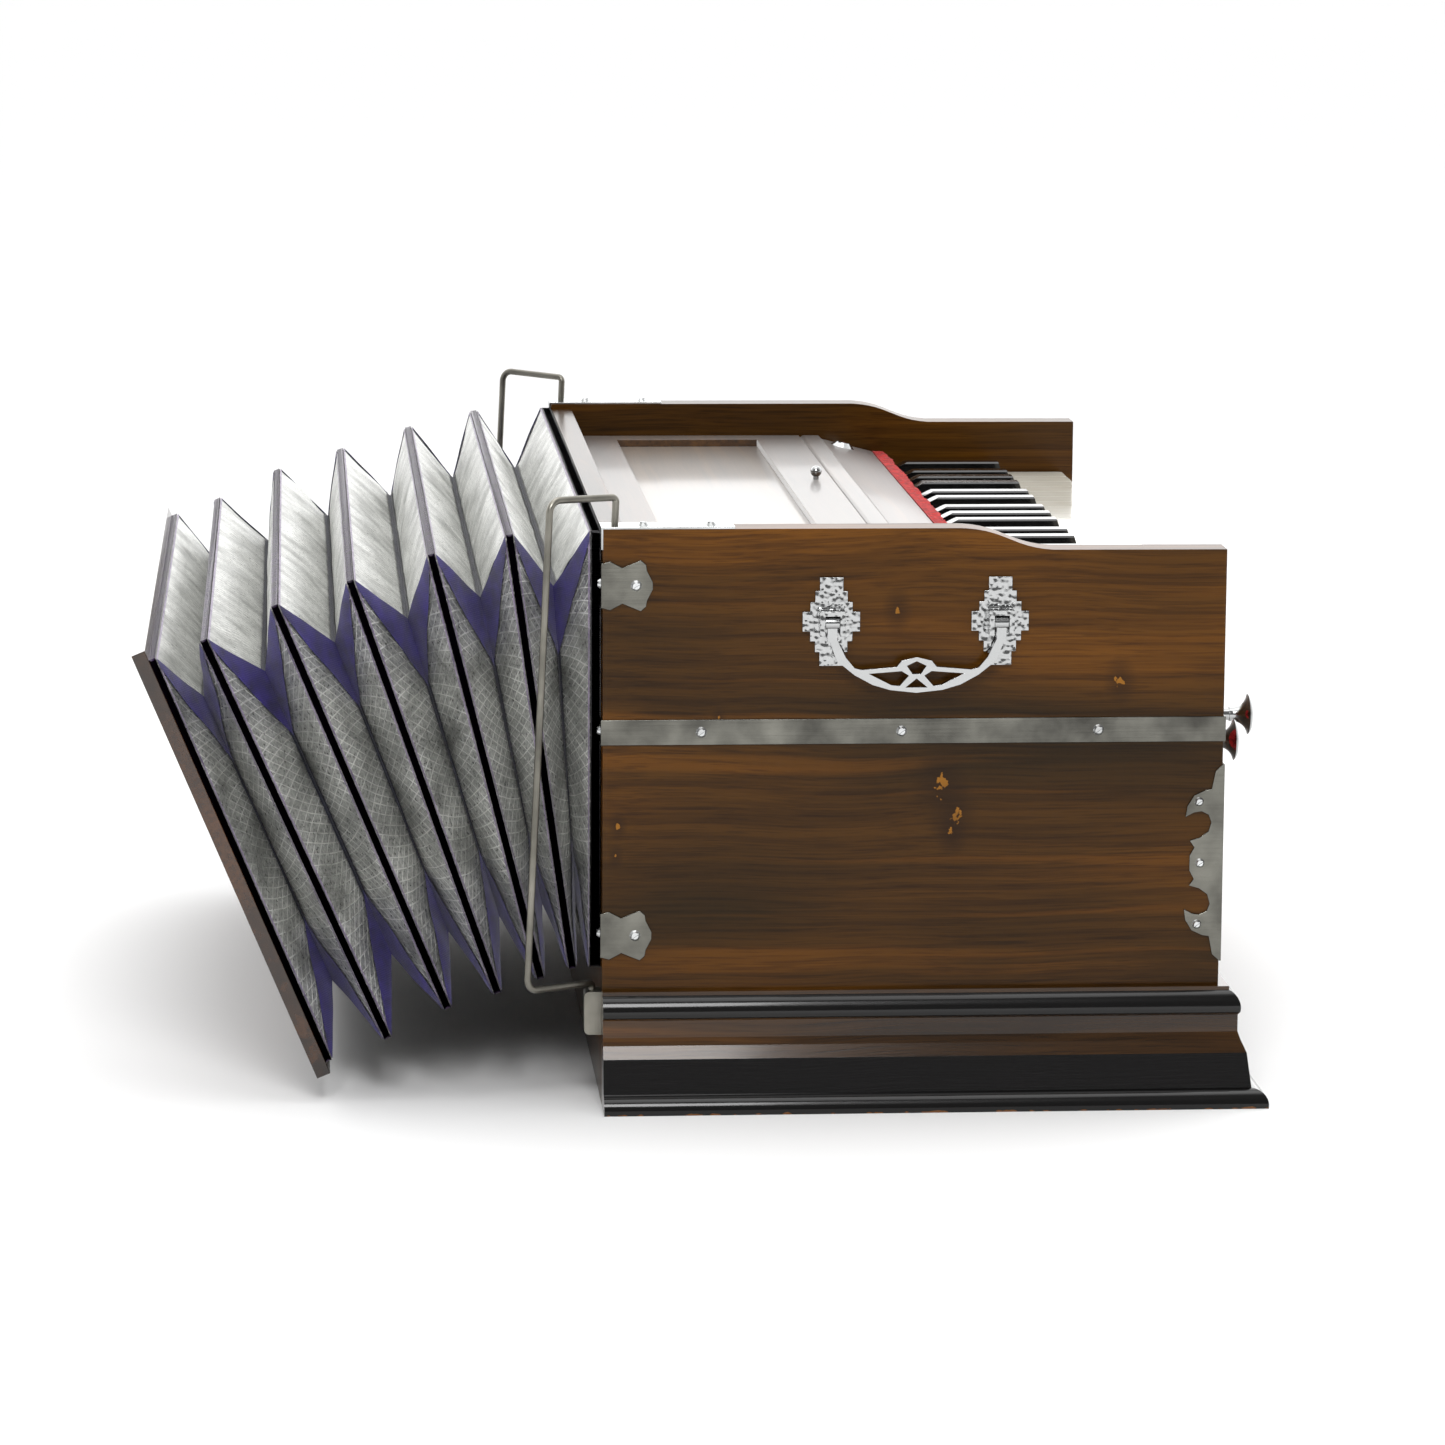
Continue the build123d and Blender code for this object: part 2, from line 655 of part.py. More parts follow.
frame_hang = (0.0, bellows_low, 0.0)
hangs = [frame_hang] + list(rib_hang)
half_rib = rib_thickness / 2
frame_ring = ring(frame_hang, 0, frame_thickness)
node("bellows_frame", frame_ring)
for i in range(1, 6):
    node(f"bellows_rib_{i}", ring(hangs[i], -half_rib, half_rib))
board_hang = hangs[6]
end_ring = ring(board_hang, -half_rib, half_rib)
board = slab(
    board_hang, half_rib, half_rib + bellows_board_thickness, -bellows_board_margin,
    bellows_height + bellows_board_margin, bellows_length / 2 + bellows_board_margin / 2,
)
flaps = []
middle_up = bellows_height / 2
for x in (-120, -40, 40, 120):
    hole_start = hang_point(board_hang, -2, middle_up)
    hole_end = hang_point(board_hang, half_rib + bellows_board_thickness + 2, middle_up)
    board -= rod((x, *hole_start), (x, *hole_end), 10.0)
    leather = ((0, -16), (2, -16), (2, 16), (0, 16))
    corners = [hang_point(board_hang, half_rib - o, middle_up + u) for o, u in leather]
    flaps.append(prism_x(corners, x - 18, x + 18))
node("bellows_board", board + end_ring)
node("intake_flaps", *flaps)
hinges = []
for i in range(1, 7):
    parent, child = hangs[i - 1], hangs[i]
    out_parent = frame_thickness if i == 1 else half_rib
    node(f"bellows_fold_{i}", fold(parent, child, out_parent + small_gap, -half_rib))
    out_closed = frame_thickness + closed_pitch / 2 if i == 1 else closed_pitch
    closed = hang_point(parent, out_closed, 0)
    turn = child[2] - parent[2]
    hinges.append((turn, turning_centre(hang_point(child, 0, 0), closed, turn)))


# ---- wire bails -----------------------------------------------------------------------------
def wire_bail():
    """Bent wire with its two ends on the leaning axis, swung outwards."""
    top_pin = Vector(*wire_axis_point(case_height - cheek_top_hole + 1))
    top = Vector(*wire_axis_point(wire_high))
    low = Vector(*wire_axis_point(wire_low))
    low_pin = Vector(*wire_axis_point(lug_high - 12))
    axis = (top - low).normalized()
    outward = (Vector(0, 1, 0) - axis * axis.Y).normalized()
    outward = outward.rotate(Axis((0, 0, 0), axis), wire_swing) * wire_arm
    corners = (low_pin, low, low + outward, top + outward, top, top_pin)
    path = FilletPolyline(*corners, radius=[wire_end_bend, wire_bend, wire_bend, wire_end_bend])
    plane = Plane(origin=path @ 0, z_dir=path % 0)
    return sweep(plane * Circle(wire_radius), path)


left_wire, right_wire = both_ends(wire_bail())
node("left_wire_bail", left_wire)
node("right_wire_bail", right_wire)

# ---- files ----------------------------------------------------------------------------------
os.makedirs("parts", exist_ok=True)
for name, solids in parts.items():
    shape = solids[0] if len(solids) == 1 else Compound(children=solids)
    export_step(shape, f"parts/{name}.step")
print(len(parts), "pieces")
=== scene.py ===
import json
import math

import bmesh
import bpy
from mathutils import Matrix, Vector, noise

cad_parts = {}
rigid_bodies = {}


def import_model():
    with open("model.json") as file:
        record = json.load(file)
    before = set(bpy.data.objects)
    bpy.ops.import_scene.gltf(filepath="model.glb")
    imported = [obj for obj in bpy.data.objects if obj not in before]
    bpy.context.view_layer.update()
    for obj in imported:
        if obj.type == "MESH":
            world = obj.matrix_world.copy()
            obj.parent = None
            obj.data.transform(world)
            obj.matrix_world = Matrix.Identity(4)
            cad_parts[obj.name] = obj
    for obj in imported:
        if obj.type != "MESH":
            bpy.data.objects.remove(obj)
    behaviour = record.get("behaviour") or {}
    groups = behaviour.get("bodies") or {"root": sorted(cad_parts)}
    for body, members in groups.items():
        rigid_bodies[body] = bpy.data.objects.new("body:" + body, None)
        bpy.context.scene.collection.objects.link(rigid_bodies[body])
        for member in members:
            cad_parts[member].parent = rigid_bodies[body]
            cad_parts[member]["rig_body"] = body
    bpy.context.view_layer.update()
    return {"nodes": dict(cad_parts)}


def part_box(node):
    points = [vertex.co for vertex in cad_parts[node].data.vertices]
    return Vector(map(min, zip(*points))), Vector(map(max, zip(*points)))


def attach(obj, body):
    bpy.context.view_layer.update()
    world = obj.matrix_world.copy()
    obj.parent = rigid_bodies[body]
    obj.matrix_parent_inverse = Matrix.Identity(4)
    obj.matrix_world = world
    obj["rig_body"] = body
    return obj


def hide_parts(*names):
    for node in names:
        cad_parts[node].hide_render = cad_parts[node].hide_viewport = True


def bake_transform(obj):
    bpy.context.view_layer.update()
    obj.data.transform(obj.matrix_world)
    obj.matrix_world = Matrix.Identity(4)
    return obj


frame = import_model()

nodes = frame["nodes"]

# ---- Camera -------------------------------------------------------------------------------------
# A long lens a few metres off the bass end, a little behind the case, looking slightly down.
camera_data = bpy.data.cameras.new("camera")
camera_data.sensor_width = 36.0
camera_data.lens = 138.2
camera_data.clip_end = 100.0
camera = bpy.data.objects.new("camera", camera_data)
bpy.context.scene.collection.objects.link(camera)
camera_place = Vector((-2.9347, 0.3019, 0.6459))
yaw, pitch, roll = -0.0781, -0.1692, 0.0064
looking = Vector((math.cos(pitch) * math.cos(yaw), math.cos(pitch) * math.sin(yaw), math.sin(pitch)))
turned = looking.to_track_quat("-Z", "Y").to_matrix().to_4x4()
camera.matrix_world = Matrix.Translation(camera_place) @ turned @ Matrix.Rotation(roll, 4, "Z")
bpy.context.scene.camera = camera


# ---- Varnished pine boards ----------------------------------------------------------------------
# Cheeks, front and back boards are planed pine, stained walnut brown and brush varnished.
# Light shows long orange streaks between dark ones, small knots and filled nail holes.
def linear(code):
    """An sRGB hex colour as linear RGBA."""
    parts = [int(code[i:i + 2], 16) / 255 for i in (1, 3, 5)]
    return [c / 12.92 if c <= 0.04045 else ((c + 0.055) / 1.055) ** 2.4 for c in parts] + [1.0]


def add(material, kind, inputs=None, **settings):
    """Adds a node, with its settings, and sets or links its inputs."""
    node = material.node_tree.nodes.new(kind)
    for name, value in settings.items():
        setattr(node, name, value)
    for name, value in (inputs or {}).items():
        if isinstance(value, bpy.types.NodeSocket):
            material.node_tree.links.new(value, node.inputs[name])
        else:
            node.inputs[name].default_value = value
    return node


def finish_named(name, **shader):
    """A new material whose Principled shader has these constant settings."""
    material = bpy.data.materials.new(name)
    material.use_nodes = True
    bsdf = material.node_tree.nodes["Principled BSDF"]
    for socket, value in shader.items():
        bsdf.inputs[socket.replace("_", " ")].default_value = value
    return material, bsdf


def ramp(material, factor, stops):
    """A colour ramp through (position, hex) stops."""
    node = add(material, "ShaderNodeValToRGB", {"Fac": factor})
    elements = node.color_ramp.elements
    while len(elements) < len(stops):
        elements.new(0.5)
    for element, (position, code) in zip(elements, stops):
        element.position = position
        element.color = linear(code)
    return node.outputs["Color"]


def grey_ramp(material, factor, low, high, start=0.0, finish=1.0):
    """Maps a factor from low..high to start..finish."""
    inputs = {"Value": factor, "From Min": low, "From Max": high, "To Min": start, "To Max": finish}
    return add(material, "ShaderNodeMapRange", inputs).outputs["Result"]


def object_place(material, scale=(1, 1, 1)):
    """Object coordinates in metres, stretched by a scale."""
    place = add(material, "ShaderNodeTexCoord").outputs["Object"]
    return add(material, "ShaderNodeMapping", {"Vector": place, "Scale": scale}).outputs["Vector"]


def link(material, source, target):
    """Joins an output to an input."""
    material.node_tree.links.new(source, target)


def mixed(material, factor, first, second, blend="MIX"):
    """Mixes two colours by a factor."""
    node = add(material, "ShaderNodeMix", data_type="RGBA", blend_type=blend)
    for socket, value in ((node.inputs["Factor"], factor), (node.inputs[6], first), (node.inputs[7], second)):
        if isinstance(value, bpy.types.NodeSocket):
            link(material, value, socket)
        else:
            socket.default_value = value
    return node.outputs[2]


def bumped(material, bsdf, height, distance, strength=1.0, onto="Normal"):
    """Feeds a height into the shader's normal; distance is in metres."""
    node = add(material, "ShaderNodeBump", {"Height": height, "Distance": distance, "Strength": strength})
    link(material, node.outputs["Normal"], bsdf.inputs[onto])


def clouds(material, vector, scale, detail, **more):
    """Fractal noise over a vector, as a factor."""
    inputs = {"Vector": vector, "Scale": scale, "Detail": detail, **more}
    return add(material, "ShaderNodeTexNoise", inputs).outputs["Fac"]


def maths(material, operation, *values):
    """One sum of numbers or sockets."""
    return add(material, "ShaderNodeMath", dict(enumerate(values)), operation=operation).outputs[0]


def vectors(material, operation, first, second):
    """One sum of two vectors or sockets."""
    return add(material, "ShaderNodeVectorMath", {0: first, 1: second}, operation=operation).outputs[0]


def placed(bm, name, *materials):
    """Turns a bmesh into an object in the scene with its materials."""
    data = bpy.data.meshes.new(name)
    bm.to_mesh(data)
    bm.free()
    for material in materials:
        data.materials.append(material)
    piece = bpy.data.objects.new(name, data)
    bpy.context.scene.collection.objects.link(piece)
    return piece


def smoothed(data, degrees):
    """Shades a mesh smooth but for edges sharper than an angle."""
    for polygon in data.polygons:
        polygon.use_smooth = True
    data.set_sharp_from_angle(angle=math.radians(degrees))


def grained(name, along, dark, middle, bright, gloss=0.22, coat=0.35, spec=0.4, knots=()):
    """Varnished wood with its grain along one axis: year rings 2 to 4 mm apart and 1 mm pores."""
    material, bsdf = finish_named(
        name, Roughness=gloss, IOR=1.5, Specular_IOR_Level=spec,
        Coat_Weight=coat, Coat_Roughness=0.08, Coat_IOR=1.5,
    )
    place = object_place(material)
    warp = add(material, "ShaderNodeTexNoise", {"Vector": place, "Scale": 7.0, "Detail": 1.0})
    inputs = {0: warp.outputs["Color"], "Scale": 0.012}
    small = add(material, "ShaderNodeVectorMath", inputs, operation="SCALE")
    bent = vectors(material, "ADD", place, small.outputs[0])

    def noise_at(across, lengthways, detail):
        scale = [across] * 3
        scale[along] = lengthways
        stretched = vectors(material, "MULTIPLY", bent, scale)
        return clouds(material, stretched, 1.0, detail, Roughness=0.6)

    rings = noise_at(330.0, 3.0, 3.0)
    streaks = noise_at(90.0, 1.6, 2.0)
    pores = noise_at(1100.0, 26.0, 2.0)
    wide = noise_at(16.0, 2.5, 2.0)
    colour = ramp(material, wide, [(0.30, dark), (0.52, middle), (0.75, bright)])
    lines = ramp(material, rings, [(0.34, "#8c8478"), (0.60, "#ffffff")])
    colour = mixed(material, 0.6, colour, lines, "MULTIPLY")
    glow = grey_ramp(material, streaks, 0.56, 0.70, 0.0, 0.55)
    colour = mixed(material, glow, colour, linear(bright))
    speck = ramp(material, pores, [(0.36, "#8a8378"), (0.50, "#ffffff")])
    colour = mixed(material, 0.4, colour, speck, "MULTIPLY")
    for spot, size in knots:
        away = vectors(material, "SUBTRACT", place, spot)
        flat = vectors(material, "MULTIPLY", away, (0.0, 1.3, 0.8))
        length = add(material, "ShaderNodeVectorMath", {0: flat}, operation="LENGTH").outputs["Value"]
        ragged = clouds(material, place, 240.0, 3.0)
        edge = maths(material, "MULTIPLY_ADD", ragged, size * 3.2, length)
        stain = grey_ramp(material, length, size * 3.0, size * 0.6, 0.0, 0.55)
        colour = mixed(material, stain, colour, linear("#241406"))
        chip = grey_ramp(material, edge, size * 2.05, size * 1.9)
        colour = mixed(material, chip, colour, linear("#8c5c1c"))
    link(material, colour, bsdf.inputs["Base Color"])
    bumped(material, bsdf, pores, 0.00006, 0.4)
    return material


def paint(names, material):
    """Gives CAD nodes a material."""
    for name in names:
        data = nodes[name].data
        data.materials.clear()
        data.materials.append(material)


def softened(node_name, piece_name, offset, material, segments=2):
    """A copy of a CAD node with its sharp edges rounded over by hand sanding or casting."""
    bm = bmesh.new()
    bm.from_mesh(nodes[node_name].data)
    bmesh.ops.remove_doubles(bm, verts=bm.verts, dist=0.00002)
    bmesh.ops.dissolve_limit(bm, angle_limit=math.radians(2), verts=bm.verts, edges=bm.edges)
    sharp = [e for e in bm.edges if len(e.link_faces) == 2 and e.calc_face_angle() > math.radians(35)]
    bmesh.ops.bevel(
        bm, geom=sharp, offset=offset, segments=segments, profile=0.5, affect="EDGES", material=-1,
        clamp_overlap=True,
    )
    piece = placed(bm, piece_name, material)
    smoothed(piece.data, 30)
    flatten = piece.modifiers.new("flat_faces", "WEIGHTED_NORMAL")
    flatten.keep_sharp = True
    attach(piece, nodes[node_name]["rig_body"])
    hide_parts(node_name)


left_low, left_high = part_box("left_cheek")
cheek_knots = [
    ((left_low.x, -0.0135, 0.1600), 0.0062), ((left_low.x, -0.0200, 0.1440), 0.0056),
    ((left_low.x, -0.0190, 0.1350), 0.0034), ((left_low.x, 0.0090, 0.2460), 0.0034),
    ((left_low.x, -0.1010, 0.2100), 0.0038), ((left_low.x, 0.0960, 0.1930), 0.0018),
    ((left_low.x, 0.1450, 0.1400), 0.0022), ((left_low.x, 0.1460, 0.1250), 0.0018),
]
pine_cheek = grained("stained_pine_cheek", 1, "#2e1e07", "#4a2e09", "#683f0d", 0.30, 0.05, 0.12, cheek_knots)
pine_end_board = grained("stained_pine_board", 0, "#2c1d0a", "#472c0e", "#6d4212", 0.28, 0.1, 0.2)
for side in ("left_cheek", "right_cheek", "front_board", "back_board"):
    softened(side, side + "_board", 0.0008, pine_cheek if side.endswith("cheek") else pine_end_board)


# ---- Plinth moulding ----------------------------------------------------------------------------
# Three mitred lengths of pine moulding under the case, glued and pinned. The maker painted the
# roll, the lower band and the foot black and varnished the flat and the chamfer brown.
def banded(name, along):
    """Varnished moulding with black painted bands by height."""
    material = grained(name, along, "#2c1b09", "#4a2f0f", "#744613", 0.18, 0.45, 0.2)
    bsdf = material.node_tree.nodes["Principled BSDF"]
    colour = bsdf.inputs["Base Color"].links[0].from_socket
    place = add(material, "ShaderNodeTexCoord").outputs["Object"]
    height = add(material, "ShaderNodeSeparateXYZ", {"Vector": place}).outputs["Z"]
    low_band = grey_ramp(material, height, 0.0260, 0.0262, 1.0, 0.0)
    roll_low = grey_ramp(material, height, 0.0452, 0.0456)
    roll_high = grey_ramp(material, height, 0.0560, 0.0562, 1.0, 0.0)
    roll = maths(material, "MULTIPLY", roll_low, roll_high)
    black = maths(material, "MAXIMUM", low_band, roll)
    chips = clouds(material, place, 160.0, 4.0)
    foot = grey_ramp(material, height, 0.0035, 0.0005)
    worn = maths(material, "MULTIPLY", chips, foot)
    bare = grey_ramp(material, worn, 0.52, 0.56)
    painted = mixed(material, black, colour, linear("#0b0a0a"))
    link(material, mixed(material, bare, painted, linear("#6d431c")), bsdf.inputs["Base Color"])
    return material


moulding = nodes["plinth_moulding"].data
moulding.materials.clear()
moulding.materials.append(banded("painted_side_moulding", 1))
moulding.materials.append(banded("painted_front_moulding", 0))
case_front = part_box("front_board")[0].y
for polygon in moulding.polygons:
    middle = polygon.center
    on_front = abs(polygon.normal.x) < 0.1 and middle.y < case_front + 0.001 and abs(middle.x) < 0.25
    polygon.material_index = 1 if on_front else 0

# ---- Lid, its sunken panel and the key cover ----------------------------------------------------
# The lid is a rebated frame holding a thin plywood panel; the cover board slopes to the keys.
# All are spirit varnished; a sheen layer stands in for part of the room's reflection.
haze = {"Sheen Weight": 0.7, "Sheen Roughness": 0.3}
lid_wood = grained("polished_lid_frame", 0, "#3a2715", "#4f3317", "#6d481c", gloss=0.34, coat=0.3, spec=0.6)
panel_wood = grained("polished_lid_panel", 0, "#4a3520", "#614827", "#7b5c2e", gloss=0.30, coat=0.6, spec=0.6)
for hazed in (lid_wood, panel_wood):
    for socket, value in haze.items():
        hazed.node_tree.nodes["Principled BSDF"].inputs[socket].default_value = value
softened("lid_frame", "lid_rails", 0.0007, lid_wood)
softened("lid_panel", "lid_panel_sheet", 0.0003, panel_wood)
softened("key_cover", "key_cover_board", 0.0008, lid_wood)

# ---- Bare wood inside ---------------------------------------------------------------------------
# Base, reed board, key rails and reservoir board are planed deodar left unfinished.
bare_wood = grained("planed_bare_deodar", 0, "#6b4a2a", "#8a6238", "#a97f4c", gloss=0.6, coat=0.0)
paint(["base_board", "key_frame", "reed_board", "reservoir_board"], bare_wood)


# ---- Steel trim ---------------------------------------------------------------------------------
# Straps, corner brackets and cap plates are punched from 1 mm stainless sheet with a brushed
# face and bright sheared edges; slotted raised screws hold them.
def brushed(name, shade, tint, along, gloss=0.24):
    """Brushed sheet: 0.3 mm scratch lines along one axis, drawn coarse enough to show."""
    material, bsdf = finish_named(name, Metallic=1.0, Roughness=gloss)
    scale = [1400.0, 1400.0, 1400.0]
    scale[along] = 25.0
    lines = clouds(material, object_place(material, scale), 1.0, 3.0)
    cloud = clouds(material, object_place(material), 45.0, 3.0)
    tone = ramp(material, cloud, [(0.3, shade), (0.7, tint)])
    link(material, tone, bsdf.inputs["Base Color"])
    link(material, grey_ramp(material, lines, 0.3, 0.7, gloss - 0.06, gloss + 0.10), bsdf.inputs["Roughness"])
    bumped(material, bsdf, lines, 0.00002, 0.6)
    return material


# The straps and brackets get a far darker steel colour than the cap plates: painted shade on their upright
# faces.
shaded_sheet_steel = brushed("stainless_sheet_painted_shade", "#464541", "#75746d", 1, 0.16)
cap_steel = brushed("polished_stainless_sheet", "#a5a6a5", "#d3d5d6", 1, 0.16)
for strip in ("side_straps", "rear_corner_brackets", "front_corner_brackets"):
    softened(strip, strip + "_sheet", 0.0003, shaded_sheet_steel)
softened("cap_plates", "cap_plate_sheet", 0.0003, cap_steel)
paint(["trim_screws"], cap_steel)

# ---- Wire bails and their brackets --------------------------------------------------------------
# Two hooks of drawn 3.5 mm steel wire that once clipped the closed bellows, dull and greyed.
drawn_wire = brushed("drawn_steel_wire", "#66645d", "#8f8c83", 2, 0.36)
paint(["left_wire_bail", "right_wire_bail", "wire_brackets", "key_rod"], drawn_wire)
for wire in ("left_wire_bail", "right_wire_bail"):
    for polygon in nodes[wire].data.polygons:
        polygon.use_smooth = True


# ---- Handles and their plates -------------------------------------------------------------------
# Cast, hammered in the mould, and chrome plated; the bail is smoother than its plates.
def plated(name, dent, depth):
    """Chrome plate over a cast surface with dents of a given size in metres."""
    material, bsdf = finish_named(name, Metallic=1.0, Roughness=0.12)
    bsdf.inputs["Base Color"].default_value = linear("#adaeae")
    inputs = {"Vector": object_place(material), "Scale": 1 / dent}
    dents = add(material, "ShaderNodeTexVoronoi", inputs, feature="SMOOTH_F1")
    bumped(material, bsdf, dents.outputs["Distance"], depth, 0.8)
    return material


hammered_chrome = plated("hammered_chrome_casting", 0.0022, 0.0006)
polished_chrome = plated("polished_chrome_plate", 0.006, 0.00008)
softened("handle_plates", "handle_plate_castings", 0.0004, hammered_chrome)
softened("left_handle", "left_handle_bail", 0.0009, polished_chrome, 3)
softened("right_handle", "right_handle_bail", 0.0009, polished_chrome, 3)
paint(["lid_fittings"] + [f"stop_knob_{i}" for i in range(1, 7)], polished_chrome)
for i in range(1, 7):
    knob = nodes[f"stop_knob_{i}"].data
    for polygon in knob.polygons:
        polygon.use_smooth = True

# ---- Keys ---------------------------------------------------------------------------------------
# White keys wear glossy moulded celluloid on wooden levers; the sharps are polished black resin.
white_cap, white_bsdf = finish_named(
    "moulded_ivory_plastic", Roughness=0.14, IOR=1.5, Coat_Weight=0.3, Coat_Roughness=0.05,
)
tint = clouds(white_cap, object_place(white_cap), 30.0, 2.0)
lever_depth = add(white_cap, "ShaderNodeSeparateXYZ", {"Vector": object_place(white_cap)}).outputs["Y"]
cap_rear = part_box("red_felts")[1].y
behind = grey_ramp(white_cap, lever_depth, cap_rear, cap_rear + 0.0005)
ivory = ramp(white_cap, tint, [(0.3, "#cdc9bb"), (0.7, "#dcd9cd")])
link(white_cap, mixed(white_cap, behind, ivory, linear("#a5794a")), white_bsdf.inputs["Base Color"])
black_cap, black_bsdf = finish_named(
    "polished_black_resin", Roughness=0.12, IOR=1.5, Coat_Weight=0.5, Coat_Roughness=0.05,
)
scuff = clouds(black_cap, object_place(black_cap), 220.0, 3.0)
resin = ramp(black_cap, scuff, [(0.3, "#090909"), (0.75, "#151516")])
link(black_cap, resin, black_bsdf.inputs["Base Color"])
for note in ("c", "c_sharp", "d", "d_sharp", "e", "f", "f_sharp", "g", "g_sharp", "a", "a_sharp", "b"):
    cap = black_cap if note.endswith("sharp") else white_cap
    softened("key_" + note, f"key_{note}_caps", 0.0005, cap)

# ---- Springs and reeds --------------------------------------------------------------------------
# Hard brass wire and milled brass reed plates, both lightly tarnished.
tarnished, tarnished_bsdf = finish_named("tarnished_brass", Metallic=1.0, Roughness=0.3)
spots = clouds(tarnished, object_place(tarnished), 90.0, 4.0)
brass = ramp(tarnished, spots, [(0.3, "#8a6a2c"), (0.7, "#cfa552")])
link(tarnished, brass, tarnished_bsdf.inputs["Base Color"])
paint(["key_springs", "reeds"], tarnished)
hide, hide_bsdf = finish_named("soft_valve_leather", Roughness=0.75)
pores = add(hide, "ShaderNodeTexVoronoi", {"Vector": object_place(hide), "Scale": 900.0}).outputs["Distance"]
link(hide, ramp(hide, pores, [(0.0, "#8a6a48"), (0.6, "#b99470")]), hide_bsdf.inputs["Base Color"])
bumped(hide, hide_bsdf, pores, 0.0002, 0.7)
paint(["intake_flaps"], hide)


# ---- Red felt -----------------------------------------------------------------------------------
# A torn strip of thick wool felt glued along the cover's edge, and a washer round each stop rod.
def woolly(name, code_low, code_high):
    """Wool felt: matted 0.6 mm fibres with a soft sheen."""
    material, bsdf = finish_named(name, Roughness=0.95, Sheen_Weight=0.08, Sheen_Roughness=0.5)
    fibres = clouds(material, object_place(material), 1500.0, 3.0)
    tufts = clouds(material, object_place(material), 260.0, 4.0)
    mix = maths(material, "ADD", fibres, tufts)
    wool = ramp(material, grey_ramp(material, mix, 0.7, 1.3), [(0.2, code_low), (0.8, code_high)])
    link(material, wool, bsdf.inputs["Base Color"])
    bumped(material, bsdf, mix, 0.0006, 0.9)
    return material


red_wool = woolly("red_wool_felt", "#740303", "#c40c07")
felt_low, felt_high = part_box("red_felts")
cover_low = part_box("key_cover")[0]
felt_thickness = 0.0068
strip_low = Vector((felt_low.x, cover_low.y - felt_thickness, cover_low.z - 0.0002))
strip_high = Vector((felt_high.x, cover_low.y, felt_high.z))
bm = bmesh.new()
bmesh.ops.create_cube(bm, size=1.0)
bmesh.ops.scale(bm, vec=strip_high - strip_low, verts=bm.verts)
bmesh.ops.translate(bm, vec=(strip_low + strip_high) / 2, verts=bm.verts)
long_edges = [e for e in bm.edges if abs(e.verts[0].co.x - e.verts[1].co.x) > 0.1]
short_edges = [e for e in bm.edges if e not in long_edges]
bmesh.ops.subdivide_edges(bm, edges=short_edges, cuts=4, use_grid_fill=True)
long_edges = [e for e in bm.edges if abs(e.verts[0].co.x - e.verts[1].co.x) > 0.1]
bmesh.ops.subdivide_edges(bm, edges=long_edges, cuts=420, use_grid_fill=True)
for vert in bm.verts:
    if vert.co.y < strip_high.y - 0.0005:
        wave = noise.noise(vert.co * 45.0) * 0.0009 + noise.noise(vert.co * 420.0) * 0.0005
        vert.co += Vector((0.0, -1.0, 0.8)) * wave
bm.normal_update()
felt_strip = placed(bm, "key_felt_strip", red_wool)
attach(felt_strip, "root")
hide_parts("red_felts")
washer_section = [
    (0.0032, 0.0), (0.0078, 0.0), (0.0085, -0.0007), (0.0085, -0.0024), (0.0032, -0.0024),
]
for i in range(1, 7):
    low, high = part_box(f"stop_knob_{i}")
    centre = (low + high) / 2
    bm = bmesh.new()
    ring = [bm.verts.new((radius, height, 0.0)) for radius, height in washer_section]
    outline = [bm.edges.new((ring[k], ring[(k + 1) % 5])) for k in range(5)]
    bmesh.ops.spin(
        bm, geom=ring + outline, cent=(0, 0, 0), axis=(0, 1, 0), angle=math.tau, steps=40,
        use_merge=True,
    )
    bmesh.ops.recalc_face_normals(bm, faces=bm.faces)
    bmesh.ops.translate(bm, vec=(centre.x, case_front, centre.z), verts=bm.verts)
    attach(placed(bm, f"stop_washer_{i}", red_wool), "root")


# ---- Bellows ------------------------------------------------------------------------------------
# Stiff foil-faced card, creased in pleats between flat ribs. Plum tape binds each ridge, a near-black
# strip of painted shade darkens each valley, and violet cloth gussets close the four corners. All is glued.
def foil_card(name):
    """Silvered card embossed with 7 mm diamonds; it reads its own UV map, in metres."""
    material, bsdf = finish_named(name, Metallic=0.6, Roughness=0.32)
    flat = add(material, "ShaderNodeUVMap", uv_map="panel").outputs["UV"]
    worn = clouds(material, object_place(material), 48.0, 3.0)
    fine = clouds(material, object_place(material), 520.0, 4.0, Roughness=0.7)
    grooves = None
    for lean in (0.42, -0.42):
        inputs = {"Vector": flat, "Rotation": (0, 0, lean)}
        turned = add(material, "ShaderNodeMapping", inputs).outputs["Vector"]
        inputs = {"Vector": turned, "Scale": 52.0, "Distortion": 0.35, "Detail": 1.0, "Detail Scale": 2.0}
        wave = add(material, "ShaderNodeTexWave", inputs).outputs["Fac"]
        line = grey_ramp(material, wave, 0.93, 1.0)
        grooves = line if grooves is None else maths(material, "MAXIMUM", grooves, line)
    seen = maths(material, "MULTIPLY", grooves, grey_ramp(material, worn, 0.3, 0.62))
    tone = ramp(material, fine, [(0.32, "#8d8e8b"), (0.5, "#b9bab6"), (0.7, "#e2e2de")])
    rubbed = ramp(material, worn, [(0.3, "#969794"), (0.66, "#ffffff")])
    tone = mixed(material, 0.7, tone, rubbed, "MULTIPLY")
    tone = mixed(material, seen, tone, linear("#f2f2ee"))
    link(material, tone, bsdf.inputs["Base Color"])
    link(material, grey_ramp(material, fine, 0.3, 0.7, 0.24, 0.44), bsdf.inputs["Roughness"])
    height = maths(material, "MULTIPLY_ADD", grooves, 1.0, fine)
    bumped(material, bsdf, height, 0.0005, 0.7)
    return material


